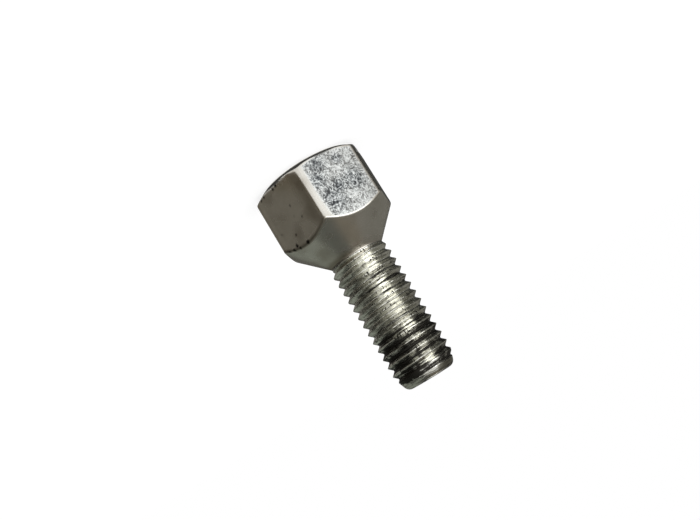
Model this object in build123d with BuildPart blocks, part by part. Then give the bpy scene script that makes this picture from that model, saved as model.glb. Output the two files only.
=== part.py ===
from build123d import *
from math import ceil, cos, radians, tan
import os

# Driving dimensions in millimetres and degrees.
# The bolt stands on the flat top of its head, so lengths along it are heights from there towards the point.
thread_diameter = 12.0
thread_pitch = 1.75
thread_depth = 0.9
across_flats = 21.0
corner_radius = 0.9
top_face_diameter = 19.8
top_chamfer_angle = 33.0
head_length = 17.6
seat_angle = 90.0
neck_undercut = 0.05
neck_land = 0.45
shoulder_angle = 45.0
shank_length = 26.75
point_length = 3.2
point_diameter = 9.6
point_chamfer = 0.9
overlap = 0.5

# Radii and stations that follow from them.
thread_r = thread_diameter / 2
root_r = thread_r - thread_depth
neck_r = root_r - neck_undercut
flat_r = across_flats / 2
corner_r = flat_r / cos(radians(30))
top_r = top_face_diameter / 2
point_r = point_diameter / 2
bolt_length = head_length + shank_length
point_start = bolt_length - point_length


def chamfer_at(radius):
    """Station of the chamfer cone round the top face."""
    return (radius - top_r) * tan(radians(top_chamfer_angle))


def seat_at(radius):
    """Station of the seat cone, which is as wide as the thread where the head ends."""
    return head_length - (radius - thread_r) / tan(radians(seat_angle / 2))


neck_start = seat_at(neck_r)
neck_end = neck_start + neck_land

# Thread.
# Each turn is two ruled flanks between helices, from root to crest and on to the next root.
# Whole turns are counted back from the start of the point, to well inside the neck.
turns_to_neck = ceil((point_start - neck_end) / thread_pitch) + 1
turns_to_end = ceil(point_length / thread_pitch) + 1
turns = turns_to_neck + turns_to_end
thread_start = point_start - turns_to_neck * thread_pitch
turn_profile = [(root_r, 0), (thread_r, thread_pitch / 2), (root_r, thread_pitch)]


def turn_helix(radius, station):
    return Edge.make_helix(thread_pitch, thread_pitch, radius, center=(0, 0, station))


def turn_flanks(station):
    helices = [turn_helix(radius, station + rise) for radius, rise in turn_profile]
    return [Face.make_surface_from_curves(low, high) for low, high in zip(helices, helices[1:])]


def end_faces(station):
    """Close the helical rod with a winding ramp and the flat step that one turn of it leaves."""
    axis_edge = Edge.make_line((0, 0, station), (0, 0, station + thread_pitch))
    ramp = Face.make_surface_from_curves(axis_edge, turn_helix(root_r, station))
    step = [(radius, 0, station + rise) for radius, rise in turn_profile]
    step += [(0, 0, station + thread_pitch), (0, 0, station)]
    return [ramp, Face(Wire.make_polygon(step, close=True))]


rod_faces = end_faces(thread_start) + end_faces(thread_start + turns * thread_pitch)
for turn in range(turns):
    rod_faces += turn_flanks(thread_start + turn * thread_pitch)
rod = Solid(Shell(rod_faces))

# Shank: the threaded rod inside a turned outline, with a shoulder at the neck and a tapered point.
outer_r = thread_r + overlap
inner_r = neck_r - overlap
with BuildPart() as shank:
    add(rod)
    with BuildSketch(Plane.XZ) as shank_outline:
        with BuildLine():
            Polyline(
                (0, neck_end - overlap),
                (inner_r, neck_end - overlap),
                (outer_r, neck_end + (outer_r - neck_r) / tan(radians(shoulder_angle))),
                (outer_r, point_start),
                (thread_r, point_start),
                (point_r, bolt_length),
                (0, bolt_length),
                close=True,
            )
        make_face()
        chamfer(shank_outline.vertices().sort_by_distance((point_r, bolt_length))[0], point_chamfer)
    revolve(axis=Axis.Z, mode=Mode.INTERSECT)

# Wheel bolt: a turned blank cut to the hexagon, with a core that reaches into the threaded shank.
with BuildPart() as wheel_bolt:
    with BuildSketch(Plane.XZ):
        with BuildLine():
            Polyline(
                (0, 0),
                (top_r, 0),
                (corner_r, chamfer_at(corner_r)),
                (corner_r, seat_at(corner_r)),
                (neck_r, neck_start),
                (neck_r, neck_end + thread_pitch),
                (0, neck_end + thread_pitch),
                close=True,
            )
        make_face()
    revolve(axis=Axis.Z)
    with BuildSketch() as hexagon:
        RegularPolygon(flat_r, 6, major_radius=False, rotation=30)
        fillet(hexagon.vertices(), corner_radius)
    extrude(amount=bolt_length, mode=Mode.INTERSECT)
    add(shank.part)

wheel_bolt.part.label = "wheel_bolt"
os.makedirs("parts", exist_ok=True)
export_step(wheel_bolt.part, "parts/wheel_bolt.step")
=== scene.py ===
# %% [markdown]
# # A plated wheel bolt, standing on its head
# A wheel bolt clamps a road wheel to its hub. It is forged in one piece, its thread is rolled, and all of
# it is plated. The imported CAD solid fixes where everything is. This lesson dresses that solid with a
# finer mesh of the same form, with the rounded edges, the rolled thread and the skin that the solid
# leaves plain.

# %% Load the frame
import math

import bmesh
import bpy
from mathutils import Matrix, Vector, noise


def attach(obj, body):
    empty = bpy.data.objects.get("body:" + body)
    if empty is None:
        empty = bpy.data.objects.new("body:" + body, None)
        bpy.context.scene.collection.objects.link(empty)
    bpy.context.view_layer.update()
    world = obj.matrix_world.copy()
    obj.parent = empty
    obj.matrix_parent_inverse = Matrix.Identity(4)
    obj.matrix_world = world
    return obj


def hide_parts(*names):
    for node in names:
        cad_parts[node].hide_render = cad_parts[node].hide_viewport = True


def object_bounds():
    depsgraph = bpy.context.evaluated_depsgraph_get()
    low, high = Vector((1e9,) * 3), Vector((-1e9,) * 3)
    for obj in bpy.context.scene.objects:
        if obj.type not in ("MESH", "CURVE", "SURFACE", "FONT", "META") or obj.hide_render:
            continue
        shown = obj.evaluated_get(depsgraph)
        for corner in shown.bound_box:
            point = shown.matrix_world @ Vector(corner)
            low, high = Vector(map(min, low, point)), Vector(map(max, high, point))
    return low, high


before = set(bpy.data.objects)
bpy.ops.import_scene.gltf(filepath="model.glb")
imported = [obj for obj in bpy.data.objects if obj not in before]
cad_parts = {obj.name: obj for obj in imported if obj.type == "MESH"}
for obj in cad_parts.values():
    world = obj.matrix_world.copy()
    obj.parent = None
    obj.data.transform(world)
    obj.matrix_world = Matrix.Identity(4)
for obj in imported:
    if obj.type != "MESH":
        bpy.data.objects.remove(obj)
cad_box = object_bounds()
print("CAD box in metres", [tuple(round(x, 5) for x in corner) for corner in cad_box])

# %% [markdown]
# ## The bolt's own coordinates
# A turned part is easiest to describe by a radius, a station along its axis and a turn round it. The bolt
# stands on the flat top of its head, so its axis is the frame's Z and a station is a height. Turn zero
# looks along X, square to a flat.

# %% Place a point on the bolt
MM = 0.001


def at(radius, station, turn):
    """A point of the frame in metres, from millimetres and radians on the bolt."""
    return Vector((radius * math.cos(turn), radius * math.sin(turn), station)) * MM


print("10 mm out and 5 mm up, a quarter turn round:", [round(x, 4) for x in at(10, 5, math.pi / 2)])

# %% [markdown]
# ## Sizes
# The length and the width across flats come from the frame, and most other sizes are those of the CAD
# solid. Two places differ a little. On the real bolt the first turn runs out on to the cone, so the neck
# is wider and shorter here. And the rim of the point, a chamfer in the solid, is rounded.

# %% Sizes of the bolt in millimetres
bolt_length = cad_box[1][2] / MM
flat_r = cad_box[1][0] / MM
corner_radius = 0.9
top_r = 9.9
top_slope = math.tan(math.radians(33))
head_length = 17.6
thread_r = 6.0
thread_pitch = 1.75
root_r = 5.1
neck_r = 5.4
neck_land = 0.2
point_start = bolt_length - 3.2
point_r = 4.8
point_rounding = 1.3


def chamfer_at(radius):
    """Station of the chamfer round the head's top."""
    return (radius - top_r) * top_slope


def seat_at(radius):
    """Station of the seat, a cone of 90 degrees, as wide as the thread where the head ends."""
    return head_length - (radius - thread_r)


neck_start = seat_at(neck_r)
neck_end = neck_start + neck_land
print("neck from", round(neck_start, 2), "to", round(neck_end, 2), "of", round(bolt_length, 2), "mm")

# %% [markdown]
# ## An outline with rounded corners
# No edge of a forged and plated part is sharp: each catches a thin line of light. A bevel modifier could
# round them, but it would not know the dense grid that the skin needs. So each corner of the turned
# outline becomes a true arc here, and each straight stretch is divided as finely as its skin asks.

# %% Round an outline
ARC_STEPS = 5


def rounded_corner(before, corner, after, rounding):
    """Start, points in between and stop of the arc that rounds one corner."""
    back = (before - corner).normalized()
    ahead = (after - corner).normalized()
    half = math.acos(max(-1, min(1, back.dot(ahead)))) / 2
    start = corner + back * rounding / math.tan(half)
    stop = corner + ahead * rounding / math.tan(half)
    centre = corner + (back + ahead).normalized() * rounding / math.sin(half)
    sweep = (start - centre).angle_signed(stop - centre)
    turns = [Matrix.Rotation(-sweep * step / ARC_STEPS, 2) for step in range(1, ARC_STEPS)]
    return start, [centre + turn @ (start - centre) for turn in turns], stop


def rounded_outline(corners, roundings, divisions):
    """Points along (radius, station) corners: divided stretches joined by arcs."""
    corners = [Vector(corner) for corner in corners]
    bends = []
    for before, corner, after, rounding in zip(corners, corners[1:], corners[2:], roundings):
        bends.append(rounded_corner(before, corner, after, rounding))
    bends.append((corners[-1], [], corners[-1]))
    points = []
    leave = corners[0]
    for count, (arrive, arc, stop) in zip(divisions, bends):
        points += [leave.lerp(arrive, step / count) for step in range(count + 1)]
        points += arc
        leave = stop
    return points


print("a square corner becomes", len(rounded_outline([(0, 0), (2, 0), (2, 2)], [0.5], [1, 1])), "points")

# %% [markdown]
# ## The head
# The head is a round blank pressed to a hexagon. Its top is turned to a chamfer and its underside to the
# conical seat, so each flat ends in two arcs. A boolean of a cone and a prism would give the form, but no
# even grid. So every point round the hexagon carries its own outline from the top's centre to the neck,
# and the outlines side by side make the grid.

# %% Ring of the hexagon
FLAT_STEPS = 54
CORNER_STEPS = 8
SIXTH = math.radians(60)
half_flat = (flat_r - corner_radius) * math.tan(SIXTH / 2)


def hexagon_ring():
    """Points round the hexagon as (radius, turn)."""
    ring = []
    for flat in range(6):
        turn = Matrix.Rotation(SIXTH * flat, 2)
        for step in range(FLAT_STEPS):
            across = half_flat * (2 * step / FLAT_STEPS - 1)
            ring.append(turn @ Vector((flat_r, across)))
        centre = Vector((flat_r - corner_radius, half_flat))
        for step in range(CORNER_STEPS):
            angle = SIXTH * step / CORNER_STEPS
            rim = centre + corner_radius * Vector((math.cos(angle), math.sin(angle)))
            ring.append(turn @ rim)
    return [(point.length, math.atan2(point.y, point.x)) for point in ring]


ring = hexagon_ring()
print("hexagon ring", len(ring), "points, widest", round(2 * max(r for r, _ in ring), 2), "mm")

# %% [markdown]
# ## The forged skin of the flats
# The flats were pressed by a die and then plated, which leaves shallow dents and pits. Each flat met the
# die and the wrench in its own way, so each has its own share of wear. The skin fades out near the edges,
# where handling has rubbed it smooth. To tell how far in a point is, its way from each edge is measured
# in margins.

# %% Where a point is on its flat
SIDE_MARGIN = 0.25
TOP_MARGIN = 0.4
SEAT_MARGIN = 0.3
RUBBED_MARGIN = 0.9
RUBBED_MARGIN_GROWTH = 0.5
GROWTH_STATIONS = (7, 13)


def smooth(low, high, value):
    """From 0 at low to 1 at high, with soft ends."""
    share = max(0.0, min(1.0, (value - low) / (high - low)))
    return share * share * (3 - 2 * share)


def flat_place(radius, station, turn):
    """Number of the flat, place across it, margins in from its edges and depth under its plane."""
    number = round(turn / SIXTH)
    lean = turn - number * SIXTH
    across = radius * math.sin(lean)
    rubbed_margin = RUBBED_MARGIN + RUBBED_MARGIN_GROWTH * smooth(*GROWTH_STATIONS, station)
    margins_in = (
        (half_flat - across) / rubbed_margin,
        (half_flat + across) / SIDE_MARGIN,
        (station - chamfer_at(radius)) / TOP_MARGIN,
        (seat_at(radius) - station) / SEAT_MARGIN,
    )
    return number % 6, across, min(margins_in), flat_r - radius * math.cos(lean)


print("middle of the first flat:", [round(x, 2) for x in flat_place(flat_r, 7.0, 0.0)])

# %% Pits of each flat
FLAT_WEAR = (1.0, 0.08, 0.6, 0.8, 0.45, 0.7)
SCATTERED_PITS = 0.79

# Places where pits crowd on the first flat: place across it, station and reach.
PIT_CLUSTERS = (
    (2.6, 9.2, 3.2),
    (3.8, 4.8, 2.4),
    (2.4, 2.2, 2.2),
    (-2.6, 7.4, 2.6),
    (-1.8, 2.6, 1.2),
    (0.4, 7.4, 2.0),
)


def pitting(place, number, across, from_edge):
    """Share of the plate that pits have broken at a place in millimetres."""
    if number == 0:
        nearness = [math.hypot(across - a, place.z - z) / reach for a, z, reach in PIT_CLUSTERS]
        crowd = smooth(1.3, 0.2, min(nearness))
    else:
        crowd = max(0.0, min(1.0, 0.5 + noise.noise(place * 0.33 + Vector((2, 8, 1)))))
    share = SCATTERED_PITS + (1 - SCATTERED_PITS) * crowd
    return FLAT_WEAR[number] * smooth(0.3, 1.1, from_edge) * share


print("pitting in the first cluster", round(pitting(Vector((flat_r, 2.6, 9.2)), 0, 2.6, 3.0), 2))

# %% [markdown]
# ## Chips in the plate
# On one flat the plate has come off in small black chips, most of them along its rims. A texture would
# scatter them anywhere, so each chip has its own place and size, and noise makes its edge ragged.

# %% Chips on one flat
CHIPPED_FLAT = 1

# Chips where the plate has come off that flat: place across it, station and radius.
PLATE_CHIPS = (
    (2.57, 12.16, 0.34),
    (-0.05, 12.88, 0.36),
    (4.9, 12.2, 0.3),
    (3.6, 12.5, 0.3),
    (2.2, 12.9, 0.22),
    (1.41, 10.5, 0.18),
    (-0.78, 5.67, 0.16),
    (-1.89, 8.66, 0.18),
    (-0.48, 7.68, 0.12),
    (4.25, 8.73, 0.14),
    (-0.26, 1.09, 0.26),
    (0.69, 1.17, 0.28),
    (3.44, 1.1, 0.24),
    (4.3, 1.3, 0.22),
)


def chipped(place, number, across, station):
    """Share of the plate that has come off, from 0 to 1, with ragged edges."""
    if number != CHIPPED_FLAT:
        return 0.0
    ragged = 1 + 0.5 * noise.noise(place * 3.0)
    nearness = [math.hypot(across - a, station - z) / (r * ragged) for a, z, r in PLATE_CHIPS]
    return smooth(1.25, 0.75, min(nearness))


print("chips on one flat", len(PLATE_CHIPS))

# %% [markdown]
# ## The head's mesh
# The larger dents are in the mesh itself, so they bend reflections from every side. They only go inwards,
# so no flat grows past the solid, and they end before the rounded edges begin.

# %% Outline of the head at one point of the ring
# Divisions of the top, its chamfer, the side, the seat, the neck and the neck's hidden end.
HEAD_DIVISIONS = (8, 4, 56, 22, 2, 1)
NECK_OVERLAP = 0.3
TOP_ROUNDING = 0.15
TOP_ROUNDING_GROWTH = 0.35
RIM_ROUNDING = 0.5
NECK_ROUNDING = 0.4
HIDDEN_ROUNDING = 0.02


def head_outline(radius):
    """Points from the middle of the top to the middle of the neck's hidden end."""
    corners = [
        (0.0, 0.0),
        (top_r, 0.0),
        (radius, chamfer_at(radius)),
        (radius, seat_at(radius)),
        (neck_r, neck_start),
        (neck_r, neck_end + NECK_OVERLAP),
        (0.0, neck_end + NECK_OVERLAP),
    ]
    chamfer_rounding = TOP_ROUNDING + TOP_ROUNDING_GROWTH * (radius - flat_r)
    roundings = (TOP_ROUNDING, chamfer_rounding, RIM_ROUNDING, NECK_ROUNDING, HIDDEN_ROUNDING)
    return rounded_outline(corners, roundings, HEAD_DIVISIONS)


print("points in each outline", len(head_outline(flat_r)))

# %% Head mesh
DENT_DEPTH = 0.020
DENT_MARGINS = (0.8, 2.0)
ON_PLANE = 0.001


def dent_depth(place, number, across, from_edge):
    """Millimetres that the die left low."""
    dents = max(0.0, 0.5 + 0.5 * noise.fractal(place * 0.9, 1.0, 2.0, 3))
    pitted_share = pitting(place, number, across, from_edge)
    return DENT_DEPTH * dents * pitted_share * smooth(*DENT_MARGINS, from_edge)


def head_column(radius, turn):
    """The outline at one point of the ring, sunk by its dents."""
    column = []
    for r, station in head_outline(radius):
        number, across, from_edge, inside = flat_place(r, station, turn)
        depth = 0.0
        if from_edge > 0 and abs(inside) < ON_PLANE:
            depth = dent_depth(at(r, station, turn) / MM, number, across, from_edge)
        column.append(at(r - depth, station, turn))
    return column


def add_columns(mesh, columns):
    """Put the points of a grid into the mesh, column by column."""
    return [[mesh.verts.new(point) for point in column] for column in columns]


def join_columns(mesh, here, there):
    """Faces between two neighbouring columns of points."""
    for a, b, c, d in zip(here, there, there[1:], here[1:]):
        mesh.faces.new((a, b, c, d))


bolt = bmesh.new()
head_columns = add_columns(bolt, [head_column(*place) for place in ring])
for here, there in zip(head_columns, head_columns[1:] + head_columns[:1]):
    join_columns(bolt, here, there)
print("head faces", len(bolt.faces))

# %% [markdown]
# ## The rolled thread
# A rolled thread is squeezed up between dies, so its crests and roots are rounded. A screw modifier could
# wind its section, but its turns would not fade at both ends. So one turn's section is written once and
# carried round a helix: each column is shifted along the axis by its share of the pitch, so the rows
# follow the helix and every edge stays crisp.

# %% Section of one turn
crest = thread_pitch / 2
rising = [
    (0.0, root_r + 0.10),
    (0.07, root_r + 0.11),
    (0.15, root_r + 0.16),
    (0.33, root_r + 0.34),
    (0.55, root_r + 0.58),
    (crest - 0.13, thread_r - 0.11),
    (crest - 0.09, thread_r - 0.055),
    (crest - 0.045, thread_r - 0.02),
    (crest, thread_r - 0.015),
]
turn_section = rising + [(thread_pitch - rise, radius) for rise, radius in rising[-2:0:-1]]
print("points in one turn's section", len(turn_section))

# %% [markdown]
# ## The shank's turned limit
# The thread is cut down by what a lathe would leave: a shoulder that rises from the neck, a taper and a
# rounded rim at the point, and a flat end. A run along that outline gives a station and the largest
# radius there.

# %% Turned limit of the shank
SHOULDER_SLOPE = 0.55
taper = math.atan((thread_r - point_r) / (bolt_length - point_start))
round_centre_r = point_r + point_rounding * (math.tan(taper) - 1 / math.cos(taper))
round_start = bolt_length - point_rounding * (1 - math.sin(taper))
end_run = round_start + point_rounding * (math.pi / 2 - taper)
shank_run = end_run + round_centre_r


def shank_limit(run):
    """Station and largest radius after a run along the outline, up to the middle of the end face."""
    if run > end_run:
        return bolt_length, max(0.0, shank_run - run)
    if run > round_start:
        angle = taper + (run - round_start) / point_rounding
        station = bolt_length - point_rounding * (1 - math.sin(angle))
        return station, round_centre_r + point_rounding * math.cos(angle)
    shoulder = neck_r + SHOULDER_SLOPE * max(0.0, run - neck_end)
    tapered = thread_r - (run - point_start) * math.tan(taper)
    return run, min(thread_r, shoulder, tapered)


print("end face of radius", round(round_centre_r, 2), "mm")

# %% Rows of the shank
TURN_STEPS = 168
TURNS_TO_POINT = 15
HIDDEN_START = 0.2
shank_start = neck_end - HIDDEN_START
first_run = point_start - TURNS_TO_POINT * thread_pitch
turn_count = math.ceil((shank_run - first_run) / thread_pitch) + 2
rows = []
for turn in range(turn_count):
    rows += [(first_run + turn * thread_pitch + rise, radius) for rise, radius in turn_section]
print("rows", len(rows), "in", turn_count, "turns")

# %% Wear of the crests
NICK_DEPTH = 0.04
CHIP_DEPTH = 0.05
RUBBED_DEPTH = 0.02
CREST_RADII = (thread_r - 0.28, thread_r - 0.04)


def thread_wear(place, radius):
    """Millimetres rubbed or nicked off a crest."""
    nicks = NICK_DEPTH * smooth(0.25, 0.5, noise.noise(place * 1.15))
    chips = CHIP_DEPTH * smooth(0.12, 0.5, noise.noise(place * 2.6 + Vector((3, 1, 9))))
    rubbed = RUBBED_DEPTH * (0.5 + 0.5 * noise.noise(place * 0.4))
    return smooth(*CREST_RADII, radius) * (nicks + chips + rubbed)


print("wear of one crest", round(thread_wear(Vector((thread_r, 0, 30)), thread_r), 3), "mm")

# %% Shank mesh
FILLED_ROOT = 0.4
FILLED_END = (bolt_length - 1.8, bolt_length - 0.7)


def shank_column(step):
    """All rows of the shank at one step round the helix."""
    turn = 2 * math.pi * step / TURN_STEPS
    column = []
    for start, radius in rows:
        run = min(max(start + thread_pitch * step / TURN_STEPS, shank_start), shank_run)
        station, limit = shank_limit(run)
        filled = FILLED_ROOT * smooth(*FILLED_END, station)
        kept = min(radius + filled, limit)
        column.append(at(kept - thread_wear(at(kept, station, turn) / MM, kept), station, turn))
    return column


shank_columns = add_columns(bolt, [shank_column(step) for step in range(TURN_STEPS)])
for here, there in zip(shank_columns, shank_columns[1:]):
    join_columns(bolt, here, there)
join_columns(bolt, shank_columns[-1], shank_columns[0][len(turn_section):])
print("head and shank faces", len(bolt.faces))

# %% [markdown]
# ## One mesh for the one piece
# Rows that the limit has pressed together are merged, and the hidden start of the shank is closed.
# Nothing comes apart on the real bolt, so head and shank are one piece. It rides on the solid's body and
# stands in for its node.

# %% Close the mesh
MERGE_DISTANCE = 1e-7
bmesh.ops.remove_doubles(bolt, verts=bolt.verts, dist=MERGE_DISTANCE)
open_edges = [edge for edge in bolt.edges if edge.is_boundary]
bmesh.ops.holes_fill(bolt, edges=open_edges, sides=0)
bmesh.ops.recalc_face_normals(bolt, faces=bolt.faces)
bolt_mesh = bpy.data.meshes.new("wheel_bolt_skin")
bolt.to_mesh(bolt_mesh)
bolt.free()
bolt_mesh.shade_smooth()
bolt_mesh.calc_loop_triangles()
print("triangles", len(bolt_mesh.loop_triangles), "open edges closed", len(open_edges))

# %% Put the piece in the frame
wheel_bolt = bpy.data.objects.new("wheel_bolt_skin", bolt_mesh)
bpy.context.collection.objects.link(wheel_bolt)
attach(wheel_bolt, "root")
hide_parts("wheel_bolt")
print("piece", wheel_bolt.name, "with", len(bolt_mesh.vertices), "points")

# %% [markdown]
# ## What the years left on the head, and painted shade
# Pits break the plate on the flats. Handling has tarnished what it has not rubbed bright, and one edge of
# each flat is brown. Painted shade darkens the crease at the neck, most of all on one side, and a line
# along the seat rim of the chipped flat. These follow the form, so they are worked out once for every
# point and stored on the mesh, where the shaders read them. Painted masks could do it too, but not
# without images.

# %% Marks on the head
HANDLED = 0.19
BRIGHT_MARGINS = (1.2, 0.6)
HEAD_STAINS = 0.35
EDGE_BROWN = (0.9, 0.6, 0.6, 0.6, 0.6, 0.6)
BROWN_ACROSS = (2.6, 5.2)
SEAT_RIM_SHADE = 0.9
SEAT_RIM_SHADE_REACH = (0.55, 0.15)
NECK_SHADE = (neck_start - 1.2, neck_start - 0.1)
SHADED_TURN = math.radians(100)
ON_FLAT = 0.05
NEAR_FLAT = 0.3


def stains(place):
    """Share of the broad stains at a place."""
    return smooth(0.0, 0.6, noise.noise(place * 0.28))


def shaded_side(turn):
    """Share of the side where shade is painted on."""
    return smooth(-0.2, 0.9, math.cos(turn - SHADED_TURN))


def head_marks(place, radius, station, turn):
    """Pitting, tarnishing with painted shade, and chips of a point on the head."""
    number, across, from_edge, inside = flat_place(radius, station, turn)
    to_seat = seat_at(radius) - station
    pits, chips = 0.0, 0.0
    tarnish_and_shade = HANDLED + HEAD_STAINS * stains(place)
    if from_edge > 0 and inside < ON_FLAT:
        pits = pitting(place, number, across, from_edge)
        tarnish_and_shade -= HANDLED * smooth(*BRIGHT_MARGINS, from_edge) * smooth(0.0, 1.5, to_seat)
        tarnish_and_shade += EDGE_BROWN[number] * smooth(*BROWN_ACROSS, -across)
    if inside < NEAR_FLAT and station < head_length:
        chips = chipped(place, number, across, station)
    # Painted shade: a dark line along the seat rim of the chipped flat.
    if inside < NEAR_FLAT and number == CHIPPED_FLAT:
        tarnish_and_shade += SEAT_RIM_SHADE * smooth(*SEAT_RIM_SHADE_REACH, abs(to_seat))
    # Painted shade in the crease at the neck, heaviest on the shaded side.
    tarnish_and_shade += (0.3 + 0.6 * shaded_side(turn)) * smooth(*NECK_SHADE, station)
    return pits, min(1.0, tarnish_and_shade), chips


print("marks at the middle of the first flat", head_marks(Vector((flat_r, 0, 7)), flat_r, 7.0, 0.0))

# %% [markdown]
# ## What the years left on the thread, and painted shade
# Black grime sits at the bottom of the turns and thickens towards the point. Painted shade darkens two
# sides of the thread towards the point and at the first turn, and one side of the point's rounded rim.
# Use has wiped the crests clean and nicked their edges. The first turns are brighter, and the rounded rim
# of the point is tarnished rather than black.

# %% Tarnish of the thread, with painted shade on the point's rim
THREAD_STAINS = 0.2
RIM_STATIONS = (bolt_length - 1.7, bolt_length - 1.1)
FIRST_TURNS = (neck_end + 3.6, neck_end + 1.1)
NECK_STATIONS = (neck_end - 0.1, neck_end + 0.3)

# Turns in radians between which painted shade on one side of the point's rim comes on and goes.
POINT_RIM_SHADE_START = (-1.7, -1.2)
POINT_RIM_SHADE_STOP = (0.09, -0.05)


def on_point(station):
    """One on the rounded rim of the point."""
    return smooth(*RIM_STATIONS, station)


def second_shaded_side(turn):
    """Share of the other side where shade is painted on."""
    return smooth(0.35, 0.8, math.cos(turn + SIXTH))


def thread_tarnish_and_shade(place, station, turn):
    """Tarnishing and painted rim shade of a thread point, below zero where the first turns are brighter.
    """
    shaded_point_rim = smooth(*POINT_RIM_SHADE_STOP, turn) * smooth(*POINT_RIM_SHADE_START, turn)
    first_turns = smooth(*FIRST_TURNS, station) * smooth(*NECK_STATIONS, station)
    rim = (0.3 + 0.75 * shaded_point_rim) * on_point(station)
    return min(1.0, THREAD_STAINS * stains(place) + rim - 0.5 * first_turns)


print("tarnish of the point's rim", round(thread_tarnish_and_shade(Vector((4.5, 0, 43.5)), 43.5, 0.0), 2))

# %% Grime and painted shade of the thread
END_GRIME = 0.25
BAND_GRIME = 0.2
BAND_LENGTH = 11
BAND_MIDDLE = neck_end + 6.1
LAST_TURN_GRIME = 0.55
LAST_TURN = bolt_length - 2.1
LAST_TURN_REACH = (0.9, 0.4)
ROOT_GRIME = 0.6
OIL_GRIME = 0.15
WIPED_GRIME = 0.4
END_TOLERANCE = 0.002

# Depths under the crest, and stations, between which each kind of grime comes on.
ROOT_DEPTHS = (0.66, 0.79)
ROOT_STATIONS = (neck_end + 0.6, neck_end + 7.6)
FLANK_DEPTHS = (0.12, 0.45)
WIPED_DEPTHS = (0.12, 0.04)
WIPED_STATIONS = (bolt_length - 1.85, bolt_length - 3.35)
TOWARDS_POINT = (bolt_length - 16.35, bolt_length - 2.35)


def on_end_face(station):
    """True on the flat end of the point."""
    return station > bolt_length - END_TOLERANCE


def grime_by_depth(below_crest, station):
    """Grime in the roots and on the oily flanks, less what use has wiped off the crests."""
    roots = smooth(*ROOT_DEPTHS, below_crest) * smooth(*ROOT_STATIONS, station)
    oily = smooth(*FLANK_DEPTHS, below_crest) * smooth(*TOWARDS_POINT, station) * (1 - on_point(station))
    wiped = smooth(*WIPED_DEPTHS, below_crest) * smooth(*WIPED_STATIONS, station)
    return ROOT_GRIME * roots + OIL_GRIME * oily - WIPED_GRIME * wiped


def shade_by_side(station, turn):
    """Painted shade on two sides: at the first turn, towards the point and on its rim."""
    shaded_share, second = shaded_side(turn), second_shaded_side(turn)
    towards_point = smooth(*TOWARDS_POINT, station)
    rim = on_point(station)
    grime_and_shade = (0.62 * shaded_share + 0.5 * second) * towards_point * (1 - rim)
    grime_and_shade += 0.4 * second * (rim + smooth(neck_end + 1.1, neck_end + 0.4, station))
    grime_and_shade += 0.45 * shaded_share * smooth(neck_end + 0.5, neck_end + 0.1, station)
    return grime_and_shade - 0.2 * shaded_share * (1 - towards_point)


def thread_grime_and_shade(place, below_crest, station, turn):
    """All of the soiling and painted shade at a point of the thread, from 0 to 1."""
    drift = Vector((1, 15, 13))
    patches = 0.4 * (noise.noise(place * 0.35 + drift) + 0.6 * noise.noise(place * 0.9 + drift))
    if on_end_face(station):
        grime_and_shade = END_GRIME + patches
    else:
        bands = BAND_GRIME * math.cos(2 * math.pi * (station - BAND_MIDDLE) / BAND_LENGTH)
        last_turn = LAST_TURN_GRIME * smooth(*LAST_TURN_REACH, abs(station - LAST_TURN))
        grime_and_shade = patches * (0.3 + smooth(*TOWARDS_POINT, station)) + bands + last_turn
        grime_and_shade += grime_by_depth(below_crest, station) + shade_by_side(station, turn)
    return max(0.0, min(1.0, grime_and_shade))


print("grime in a root near the point", round(thread_grime_and_shade(Vector((5.2, 0, 40)), 0.8, 40.0, 0.0), 2))

# %% [markdown]
# ## Coordinates along the thread
# The dies drew fine lines along every turn. A texture can follow them only in coordinates that run along
# the helix and up the flank, so these are stored too. On the end face, where the bar was sheared off, the
# lines are straight.

# %% Store the marks on the mesh
THREAD_REACH = 6.2
SEAM_SHIFT = 0.035
SHEAR_STRETCH = 0.4
NICKED_BELOW = 0.12
NICKED_REACH = (0.30, 0.16)


def drawn_place(place, station, turn):
    """Way along the thread, way up its flank and nothing, in millimetres."""
    if on_end_face(station):
        return place.x, SHEAR_STRETCH * place.y, 0.0
    full = 2 * math.pi
    turns = (station - first_run) / thread_pitch - (turn % full) / full
    whole = math.floor(turns + SEAM_SHIFT)
    return (whole * full + turn % full) * thread_r, (turns - whole) * thread_pitch, 0.0


def crest_nicks(place, below_crest, station):
    """Share of the nicked edges beside a crest."""
    edge = smooth(*NICKED_REACH, abs(below_crest - NICKED_BELOW)) * (1 - on_point(station))
    return edge * smooth(-0.15, 0.1, noise.noise(place * 0.45 + Vector((4, 4, 0))))


def marks_of(point):
    """Pitting, tarnishing, chips, soiling, nicks and painted shade of a point, and its place on the
    thread.
    """
    place = point / MM
    radius, station, turn = math.hypot(place.x, place.y), place.z, math.atan2(place.y, place.x)
    pits, chips, grime_and_shade, nicks = 0.0, 0.0, 0.0, 0.0
    drawn = (0.0, 0.0, 0.0)
    if station < neck_end:
        pits, tarnish_and_shade, chips = head_marks(place, radius, station, turn)
    else:
        tarnish_and_shade = thread_tarnish_and_shade(place, station, turn)
    if radius < THREAD_REACH and station > neck_start:
        below_crest = shank_limit(min(station, round_start))[1] - radius
        grime_and_shade = thread_grime_and_shade(place, below_crest, station, turn)
        nicks = crest_nicks(place, below_crest, station)
        drawn = drawn_place(place, station, turn)
    return pits, tarnish_and_shade, chips, grime_and_shade, nicks, drawn


*marks, drawn_places = zip(*(marks_of(vertex.co) for vertex in bolt_mesh.vertices))
for name, values in zip(("pitting", "tarnish_and_shade", "chips", "grime_and_shade", "nicked"), marks):
    bolt_mesh.attributes.new(name, "FLOAT", "POINT").data.foreach_set("value", values)
along_thread = bolt_mesh.attributes.new("along_thread", "FLOAT_VECTOR", "POINT")
along_thread.data.foreach_set("vector", [x for drawn in drawn_places for x in drawn])
print("marks stored on", len(drawn_places), "points")

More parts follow.
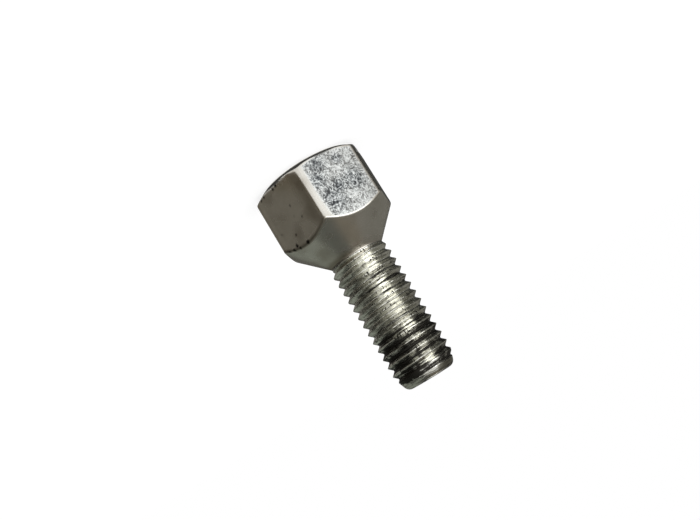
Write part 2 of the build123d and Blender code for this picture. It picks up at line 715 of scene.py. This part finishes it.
# %% [markdown]
# ## Helpers for node trees
# A shader is a tree of nodes. Building it by hand in the editor is quick, but a script keeps it exact.
# Most of these helpers make a node and hand back the socket that the next one reads.

# %% Make nodes
def wire(tree, made, inputs):
    """Set each input to a plain value, or join it to the socket that feeds it."""
    for key, value in inputs.items():
        if isinstance(value, bpy.types.NodeSocket):
            tree.links.new(value, made.inputs[key])
        else:
            made.inputs[key].default_value = value


def node(tree, kind, inputs, **settings):
    """A new node with its settings and inputs."""
    made = tree.nodes.new(kind)
    for key, value in settings.items():
        setattr(made, key, value)
    wire(tree, made, inputs)
    return made


def maths(tree, operation, *values):
    """The result of one arithmetic step."""
    made = node(tree, "ShaderNodeMath", dict(enumerate(values)), operation=operation)
    return made.outputs[0]


def levels(tree, value, low, high, to_low=0.0, to_high=1.0, kind="LINEAR"):
    """Stretch what lies between low and high to another range."""
    limits = {"From Min": low, "From Max": high, "To Min": to_low, "To Max": to_high}
    made = node(tree, "ShaderNodeMapRange", {"Value": value, **limits}, interpolation_type=kind)
    return made.outputs["Result"]


print("helpers for nodes and arithmetic are ready")

# %% Textures and mixes
def clouds(tree, place, scale, detail, roughness, distortion=0.0):
    """Noise from 0 to 1."""
    look = {"Scale": scale, "Detail": detail, "Roughness": roughness, "Distortion": distortion}
    return node(tree, "ShaderNodeTexNoise", {"Vector": place, **look}).outputs["Fac"]


def mixed(tree, factor, a, b):
    """One colour laid over another."""
    made = node(tree, "ShaderNodeMix", {"Factor": factor, "A": a, "B": b}, data_type="RGBA")
    return made.outputs["Result"]


def stored(tree, name, output="Fac"):
    """What was stored on the mesh under a name."""
    return node(tree, "ShaderNodeAttribute", {}, attribute_name=name).outputs[output]


def millimetres(tree):
    """Place on the bolt, in millimetres so that textures have readable scales."""
    place = node(tree, "ShaderNodeTexCoord", {}).outputs["Object"]
    return node(tree, "ShaderNodeVectorMath", {0: place, "Scale": 1 / MM}, operation="SCALE").outputs[0]


def bumped(tree, height, strength, distance):
    """A normal that a height has tilted."""
    inputs = {"Height": height, "Strength": strength, "Distance": distance}
    return node(tree, "ShaderNodeBump", inputs).outputs["Normal"]


print("helpers for textures and mixes are ready")

# %% [markdown]
# ## The plate
# Bright plate on steel is a metal that mirrors its surroundings a little blurred. Handling dulls it
# unevenly. The head and the thread share this, so it is one node group with named inputs: each material
# gives it its own clean and stained colours and its own tarnish, which carries painted shade as well.

# %% Group: dulled plate
dulled_plate = bpy.data.node_groups.new("dulled plate", "ShaderNodeTree")
for label, kind in (
    ("Place", "NodeSocketVector"),
    ("Tarnish and shade", "NodeSocketFloat"),
    ("Clean", "NodeSocketColor"),
    ("Stained", "NodeSocketColor"),
):
    dulled_plate.interface.new_socket(label, in_out="INPUT", socket_type=kind)
for label, kind in (
    ("Colour", "NodeSocketColor"),
    ("Dullness", "NodeSocketFloat"),
    ("Grain", "NodeSocketFloat"),
):
    dulled_plate.interface.new_socket(label, in_out="OUTPUT", socket_type=kind)
given = node(dulled_plate, "NodeGroupInput", {}).outputs
cloudy = levels(dulled_plate, clouds(dulled_plate, given["Place"], 0.4, 4.0, 0.55), 0.40, 0.75, 0.0, 0.22)
tarnished_and_shaded = node(
    dulled_plate,
    "ShaderNodeMath",
    {0: cloudy, 1: given["Tarnish and shade"]},
    operation="ADD",
    use_clamp=True,
).outputs[0]
node(dulled_plate, "NodeGroupOutput", {
    "Colour": mixed(dulled_plate, tarnished_and_shaded, given["Clean"], given["Stained"]),
    "Dullness": levels(dulled_plate, tarnished_and_shaded, 0.0, 1.0, 0.22, 0.36),
    "Grain": clouds(dulled_plate, given["Place"], 7.0, 3.0, 0.6),
})
print("group", dulled_plate.name, "with", len(dulled_plate.nodes), "nodes")

# %% [markdown]
# ## Plate on the forged head
# Under a raking light the pits of the flats look like dark, curled marks on a bluish ground, with a warm
# polished band along each edge. The pits are real, and their tones paint that light into the colour:
# painted highlights on their ridges and painted shade in their floors. Noise bent by distortion gives the
# curls, and the stored pitting decides where they may show. Grit has also left a few black specks: ragged
# dots in the cells of a Voronoi texture.

# %% Tones of the etched skin
# From painted highlights on its ridges down to painted shade on the floor of a pit.
PIT_LIGHT_AND_SHADE_TONES = (
    (0.34, (0.86, 0.89, 0.88, 1)),
    (0.45, (0.60, 0.625, 0.62, 1)),
    (0.52, (0.34, 0.355, 0.355, 1)),
    (0.58, (0.12, 0.13, 0.135, 1)),
    (0.64, (0.04, 0.043, 0.046, 1)),
)
SPECK = (0.03, 0.027, 0.022, 1)
BARE_CHIP = (0.02, 0.018, 0.015, 1)


def pit_light_and_shade(tree, depth):
    """Colour of the etched skin at a depth from 0 to 1, with painted highlights and shade."""
    ramp = node(tree, "ShaderNodeValToRGB", {"Fac": depth})
    shades = ramp.color_ramp.elements
    ends = (shades[0], shades[1])
    for shade, (stop, tone) in zip(ends, (PIT_LIGHT_AND_SHADE_TONES[0], PIT_LIGHT_AND_SHADE_TONES[-1])):
        shade.position = stop
        shade.color = tone
    for stop, tone in PIT_LIGHT_AND_SHADE_TONES[1:-1]:
        shades.new(stop).color = tone
    return ramp.outputs["Color"]


print("etched tones", len(PIT_LIGHT_AND_SHADE_TONES))

# %% Specks of grit
SPECK_SHARE = 0.16


def specks(tree, place):
    """One in the specks that a small share of the cells holds."""
    cells = node(tree, "ShaderNodeTexVoronoi", {"Vector": place, "Scale": 0.75}).outputs
    ragged = maths(tree, "MULTIPLY_ADD", clouds(tree, place, 4.0, 2.0, 0.5), 0.16, cells["Distance"])
    dots = levels(tree, ragged, 0.175, 0.135)
    draw = node(tree, "ShaderNodeSeparateColor", {"Color": cells["Color"]}).outputs["Red"]
    return maths(tree, "MULTIPLY", dots, maths(tree, "LESS_THAN", draw, SPECK_SHARE))


print("share of cells with a speck", SPECK_SHARE)

# %% Head material
def metal(name):
    """A new material, its node tree and its shader."""
    material = bpy.data.materials.new(name)
    material.use_nodes = True
    return material, material.node_tree, material.node_tree.nodes["Principled BSDF"]


def plate_in(tree, inputs):
    """What the shared group gives to one material."""
    return node(tree, "ShaderNodeGroup", inputs, node_tree=dulled_plate).outputs


forged_plate, tree, shader = metal("plate_on_forged_head")
place = millimetres(tree)
pitted = stored(tree, "pitting")
plate = plate_in(tree, {
    "Place": place,
    "Tarnish and shade": stored(tree, "tarnish_and_shade"),
    "Clean": (0.74, 0.723, 0.668, 1),
    "Stained": (0.34, 0.305, 0.25, 1),
})
sunk = levels(tree, pitted, 0, 1, -0.33, 0.05)
curls = maths(tree, "ADD", clouds(tree, place, 1.2, 3.0, 0.66, 2.2), sunk)
crowding = levels(tree, clouds(tree, place, 0.55, 4.0, 0.65, 0.9), 0.3, 0.7, 0.04, -0.04)
etch = maths(tree, "ADD", curls, crowding)
pit_floors = maths(tree, "MULTIPLY", levels(tree, etch, 0.48, 0.62, kind="SMOOTHSTEP"), pitted)
skin = mixed(tree, pitted, plate["Colour"], pit_light_and_shade(tree, etch))
speckled = mixed(tree, specks(tree, place), skin, SPECK)
wire(tree, shader, {
    "Metallic": 1.0,
    "Base Color": mixed(tree, stored(tree, "chips"), speckled, BARE_CHIP),
    "Roughness": plate["Dullness"],
    "Normal": bumped(tree, maths(tree, "MULTIPLY_ADD", pit_floors, -4.0, plate["Grain"]), 0.12, 0.04 * MM),
})
bolt_mesh.materials.append(forged_plate)
print("head material with", len(tree.nodes), "nodes")

# %% [markdown]
# ## Plate on the rolled thread
# Rolling draws fine lines along every turn, and the hub has scored the crests across. Noise stretched
# along the stored coordinates gives the lines and the scores. The lines also break up the black grime and
# the painted shade, so that they streak the way the grime was wiped.

# %% Thread material
# Black of the grime and of the painted shade on the thread.
GRIME_AND_SHADE_BLACK = (0.042, 0.039, 0.034, 1)
THREAD_SIDE = neck_end - 0.05


def stretched(tree, place, scale):
    """A place with its own scale along each axis."""
    return node(tree, "ShaderNodeMapping", {"Vector": place, "Scale": scale}).outputs[0]


rolled_plate, tree, shader = metal("plate_on_rolled_thread")
place = millimetres(tree)
drawn = stored(tree, "along_thread", "Vector")
lines = clouds(tree, stretched(tree, drawn, (0.25, 2.8, 1.0)), 1.0, 4.0, 0.65)
scores = clouds(tree, stretched(tree, drawn, (3.2, 0.9, 1.0)), 1.0, 3.0, 0.6)
streaks = levels(tree, lines, 0.50, 0.62, 0.0, 0.85)
plate = plate_in(tree, {
    "Place": place,
    "Tarnish and shade": maths(tree, "ADD", streaks, stored(tree, "tarnish_and_shade")),
    "Clean": (0.82, 0.817, 0.745, 1),
    "Stained": (0.26, 0.25, 0.215, 1),
})
smears = maths(tree, "MULTIPLY_ADD", lines, 2.2, clouds(tree, place, 0.8, 3.0, 0.6))
dashes = levels(tree, scores, 0.53, 0.62, kind="SMOOTHSTEP")
scored = maths(tree, "MULTIPLY_ADD", dashes, stored(tree, "nicked"), smears)
dirt_and_shade = maths(tree, "ADD", scored, stored(tree, "grime_and_shade"))
black = levels(tree, dirt_and_shade, 1.84, 2.3, kind="SMOOTHSTEP")
wire(tree, shader, {
    "Metallic": 1.0,
    "Base Color": mixed(tree, black, plate["Colour"], GRIME_AND_SHADE_BLACK),
    "Roughness": levels(tree, black, 0.0, 1.0, 0.17, 0.5),
    "Normal": bumped(tree, lines, 0.8, 0.08 * MM),
})
bolt_mesh.materials.append(rolled_plate)
for face in bolt_mesh.polygons:
    face.material_index = int(face.center.z / MM > THREAD_SIDE)
print("materials", [material.name for material in bolt_mesh.materials])

# %% [markdown]
# ## The studio
# The photograph has a white ground and a white front. The surround lights everything, and is a little
# brighter where it is seen. The floor glows only for rays from the camera and from mirrors, so it is white
# and yet keeps the bolt's shadow.

# %% White surround
scene = bpy.context.scene
scene.view_settings.view_transform = "Standard"
WHITE = (1, 1, 1, 1)


def seen_directly(tree):
    """One for camera, glossy and transmission rays, zero for the rest."""
    path = node(tree, "ShaderNodeLightPath", {}).outputs
    mirrored = maths(tree, "MAXIMUM", path["Is Camera Ray"], path["Is Glossy Ray"])
    return maths(tree, "MAXIMUM", mirrored, path["Is Transmission Ray"])


world = bpy.data.worlds.new("white_surround")
world.use_nodes = True
scene.world = world
strength = levels(world.node_tree, seen_directly(world.node_tree), 0.0, 1.0, 0.8, 1.0)
wire(world.node_tree, world.node_tree.nodes["Background"], {"Color": WHITE, "Strength": strength})
print("world", world.name)

# %% Floor
FLOOR_HALF = 3.0
FLOOR_GLOW = 0.8
floor_corners = [(x * FLOOR_HALF, y * FLOOR_HALF, 0) for x, y in ((-1, -1), (1, -1), (1, 1), (-1, 1))]
floor_mesh = bpy.data.meshes.new("floor")
floor_mesh.from_pydata(floor_corners, [], [(0, 1, 2, 3)])
floor = bpy.data.objects.new("floor", floor_mesh)
bpy.context.collection.objects.link(floor)
paper = bpy.data.materials.new("white_paper")
paper.use_nodes = True
wire(paper.node_tree, paper.node_tree.nodes["Principled BSDF"], {
    "Base Color": (0.30, 0.30, 0.30, 1),
    "Roughness": 1.0,
    "Specular IOR Level": 0.0,
    "Emission Color": WHITE,
    "Emission Strength": maths(paper.node_tree, "MULTIPLY", seen_directly(paper.node_tree), FLOOR_GLOW),
})
floor_mesh.materials.append(paper)
print("floor of", 2 * FLOOR_HALF, "m")

# %% [markdown]
# ## Soft lights
# One broad light stands in front of the bolt and makes the cream highlight along the thread. A smaller
# one behind it lifts the far edge of the cone. Both are area lamps, because a soft box has a size that
# metal shows.

# %% Lights
middle = at(0, 22, 0)


def bearing(degrees, elevation, distance):
    """A place in metres as seen from the bolt's middle."""
    turn, climb = math.radians(degrees), math.radians(elevation)
    level = math.cos(climb) * distance
    return middle + Vector((level * math.cos(turn), level * math.sin(turn), math.sin(climb) * distance))


def soft_light(name, place, width, height, brightness):
    """An area lamp that faces the bolt's middle."""
    lamp = bpy.data.lights.new(name, "AREA")
    lamp.shape = "RECTANGLE"
    lamp.size = width
    lamp.size_y = height
    lamp.energy = brightness * math.pi * width * height
    light = bpy.data.objects.new(name, lamp)
    bpy.context.collection.objects.link(light)
    light.location = place
    light.rotation_euler = (middle - place).to_track_quat("-Z", "Y").to_euler()
    light.visible_camera = False
    print(name, round(lamp.energy, 4), "W")


soft_light("back_light", bearing(212, 57, 0.26), width=0.10, height=0.08, brightness=1.4)
soft_light("front_light", bearing(-12, 8, 0.24), width=0.20, height=0.10, brightness=2.4)

# %% [markdown]
# ## Felt round the bolt
# Plate is nearly a mirror, so what stands round it decides its look. In the photograph the metal mirrors a
# white front and grey sides. Cards of grey felt stand for those sides: some lie on the floor, some lean as
# a tent and some close it like a cap. Each glows in its own tone, so that its grey does not hang on the
# lights, and a few fade from one tone to another, which gives the thread's highlight soft sides. They show
# only in the metal: the camera does not see them and they throw no shadow.

# %% A card of felt
FELT_STEPS = 12
felt = bpy.data.materials.new("grey_felt")
felt.use_nodes = True
wire(felt.node_tree, felt.node_tree.nodes["Principled BSDF"], {
    "Base Color": (0, 0, 0, 1),
    "Specular IOR Level": 0.0,
    "Emission Color": stored(felt.node_tree, "tone", "Vector"),
    "Emission Strength": 1.0,
})


def felt_card(name, start, stop, outline, tone, far_tone=None):
    """A card bent round the bolt between two bearings, which may fade from one tone to another."""
    points, tones = [], []
    for step in range(FELT_STEPS + 1):
        share = step / FELT_STEPS
        turn = math.radians(start + (stop - start) * share)
        points += [(r * math.cos(turn), r * math.sin(turn), z) for r, z in outline]
        tones += list(Vector(tone).lerp(Vector(far_tone or tone), share)) * len(outline)
    row = len(outline)
    corners = [step * row + k for step in range(FELT_STEPS) for k in range(row - 1)]
    mesh = bpy.data.meshes.new(name)
    mesh.from_pydata(points, [], [(k, k + 1, k + row + 1, k + row) for k in corners])
    mesh.attributes.new("tone", "FLOAT_VECTOR", "POINT").data.foreach_set("vector", tones)
    mesh.materials.append(felt)
    card = bpy.data.objects.new(name, mesh)
    bpy.context.collection.objects.link(card)
    card.visible_camera = False
    card.visible_diffuse = False
    card.visible_shadow = False
    card.visible_transmission = False
    print(name, "from", start, "to", stop, "degrees")


# %% Felt on the floor
FELT_LIFT = 0.0005
FOOT_LIFT = 0.0002
FOOT_EDGE = 0.0116
LIGHT_GREY = (0.60, 0.60, 0.55)
FLOOR_GREY = (0.060, 0.061, 0.057)
on_floor = [(r, FELT_LIFT) for r in (FOOT_EDGE, 0.06, 0.12, 0.20, 0.30)]
near, far = on_floor[:3], on_floor[2:]
under_foot = [(0.0090, FOOT_LIFT), (FOOT_EDGE, FOOT_LIFT), (FOOT_EDGE, FELT_LIFT)]
felt_card("brown_floor", 43, 74, near, (0.12, 0.095, 0.065), (0.16, 0.145, 0.115))
felt_card("fading_floor", 34, 74, far, LIGHT_GREY, FLOOR_GREY)
felt_card("left_floor", 74, 130, near, (0.175, 0.162, 0.137))
felt_card("left_floor_far", 74, 130, far, FLOOR_GREY)
felt_card("back_floor", 130, 195, near, (0.25, 0.24, 0.22))
felt_card("back_floor_far", 130, 195, far, (0.09, 0.09, 0.085))
felt_card("right_floor", 195, 330, on_floor, (0.06, 0.06, 0.055))
felt_card("foot_felt", 0, 360, under_foot, (0.06, 0.06, 0.06))

# %% Felt tent and cap
DARK_GREY = (0.054, 0.055, 0.052)
RIGHT_GREY = (0.205, 0.20, 0.18)
TENT_STEP = 6


def tent(radius, low, high):
    """Outline of a card that leans over the bolt, between two elevations."""
    climb = [math.radians(degrees) for degrees in range(low, high + 1, TENT_STEP)]
    return [(radius * math.cos(angle), radius * math.sin(angle)) for angle in climb]


felt_card("front_tent", -60, 52, tent(0.34, 54, 72), (0.21, 0.205, 0.19))
felt_card("left_fade", 34, 80, tent(0.34, 0, 42), LIGHT_GREY, DARK_GREY)
felt_card("left_edge", 80, 150, tent(0.34, 0, 42), DARK_GREY)
felt_card("left_tent", 52, 175, tent(0.34, 42, 60), (0.245, 0.262, 0.232))
felt_card("left_back", 125, 190, tent(0.335, 18, 60), (0.235, 0.252, 0.222))
felt_card("cap_left", 30, 150, tent(0.33, 60, 90), (0.10, 0.104, 0.092))
felt_card("cap_right", -120, 30, tent(0.33, 66, 90), (0.185, 0.163, 0.128))
felt_card("cap_back", 150, 240, tent(0.33, 60, 90), (0.12, 0.12, 0.11))
felt_card("back_tent", 150, 225, tent(0.345, 0, 60), (0.115, 0.11, 0.10))
felt_card("right_fade", 300, 335, tent(0.34, 0, 54), RIGHT_GREY, (0.70, 0.70, 0.66))
felt_card("right_tent", 225, 300, tent(0.34, 0, 66), RIGHT_GREY)

# %% [markdown]
# ## The camera
# The photograph shows the bolt with its point downwards and a little nearer to the lens than its head.
# With the bolt on its head that is a camera about as high as the point, turned almost upside down. The
# lens and the place were fitted to the bolt's outline in the photograph.

# %% Camera
IMAGE_WIDTH = 700
FOCAL_PIXELS = 736
camera_data = bpy.data.cameras.new("camera")
camera_data.sensor_width = 36
camera_data.lens = FOCAL_PIXELS / IMAGE_WIDTH * camera_data.sensor_width
camera_data.clip_start = 0.005
camera = bpy.data.objects.new("camera", camera_data)
bpy.context.collection.objects.link(camera)
scene.camera = camera
eye = Vector((124.02, 55.06, 40.56)) * MM
gaze = Vector((-0.61, 1.41, 18.20)) * MM
roll = math.radians(148.65)
look = (gaze - eye).to_track_quat("-Z", "Y").to_matrix().to_4x4()
camera.matrix_world = Matrix.Translation(eye) @ look @ Matrix.Rotation(roll, 4, "Z")
print("lens", round(camera_data.lens, 2), "mm")
